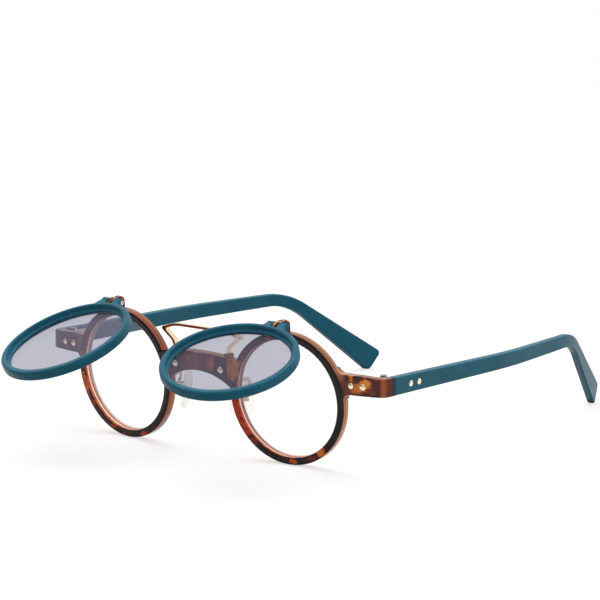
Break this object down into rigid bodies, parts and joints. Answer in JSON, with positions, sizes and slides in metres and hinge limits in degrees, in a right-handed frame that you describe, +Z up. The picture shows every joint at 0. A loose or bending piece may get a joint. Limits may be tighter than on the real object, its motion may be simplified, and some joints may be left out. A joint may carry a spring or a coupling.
{
  "type": "flip up sunglasses",
  "caption": "Round-lens spectacles with tinted sun rims that flip up on their own top hinges, a wire brow bar, adjustable nose pads and folding temples.",
  "frame": {"origin": "middle of the footprint, on the surface that the rims and the temple tips stand on", "axes": "+X to the wearer's left, +Y from the front back along the temples, +Z up"},
  "size_m": [0.1394, 0.195, 0.0464],
  "materials": {
    "tortoise": "polished tortoise acetate",
    "teal": "satin dyed acetate",
    "clear_lens": "clear polished lens",
    "tinted_lens": "grey-violet tinted lens",
    "gold": "polished pale gold",
    "steel": "nickel-plated hinge metal",
    "silicone": "clear soft silicone"
  },
  "bodies": {
    "front": {"front_frame": "tortoise", "brow_bar": "gold", "bridge_stud_left": "gold", "bridge_stud_right": "gold", "clear_lens_left": "clear_lens", "clear_lens_right": "clear_lens", "front_hinge_leaf_left": "steel", "front_hinge_leaf_right": "steel", "temple_hinge_screw_left": "steel", "temple_hinge_screw_right": "steel", "endpiece_rivet_1_left": "gold", "endpiece_rivet_1_right": "gold", "endpiece_rivet_2_left": "gold", "endpiece_rivet_2_right": "gold", "pad_arm_left": "gold", "pad_arm_right": "gold", "pad_screw_left": "steel", "pad_screw_right": "steel"},
    "temple_arm_left": {"temple_hinge_leaf_left": "steel", "temple_left": "teal", "temple_rivet_1_left": "gold", "temple_rivet_2_left": "gold"},
    "temple_arm_right": {"temple_hinge_leaf_right": "steel", "temple_right": "teal", "temple_rivet_1_right": "gold", "temple_rivet_2_right": "gold"},
    "pad_left": {"nose_pad_left": "silicone"},
    "pad_right": {"nose_pad_right": "silicone"},
    "flip_left": {"sun_rim_left": "teal", "sun_lens_left": "tinted_lens", "flip_screw_left": "steel"},
    "flip_right": {"sun_rim_right": "teal", "sun_lens_right": "tinted_lens", "flip_screw_right": "steel"}
  },
  "joints": [
    {"name": "temple_left_fold", "type": "hinge", "parent": "front", "child": "temple_arm_left", "pos_m": [0.06475, -0.03998, 0.0279], "axis": [0, 0, 1], "range_deg": [0, 85]},
    {"name": "temple_right_fold", "type": "hinge", "parent": "front", "child": "temple_arm_right", "pos_m": [-0.06475, -0.03998, 0.0279], "axis": [0, 0, -1], "range_deg": [0, 78]},
    {"name": "flip_left_raise", "type": "hinge", "parent": "front", "child": "flip_left", "pos_m": [0.03441, -0.05405, 0.04488], "axis": [-1, 0, 0], "range_deg": [-75.9, 20]},
    {"name": "flip_right_raise", "type": "hinge", "parent": "front", "child": "flip_right", "pos_m": [-0.03441, -0.05405, 0.04488], "axis": [-1, 0, 0], "range_deg": [-71.5, 24.4]},
    {"name": "nose_pad_left_rock", "type": "hinge", "parent": "front", "child": "pad_left", "pos_m": [0.01296, -0.04535, 0.01865], "axis": [-0.1055, 0.0609, 0.9925], "range_deg": [-10, 10]},
    {"name": "nose_pad_right_rock", "type": "hinge", "parent": "front", "child": "pad_right", "pos_m": [-0.01296, -0.04535, 0.01865], "axis": [-0.1055, -0.0609, -0.9925], "range_deg": [-10, 10]}
  ]
}
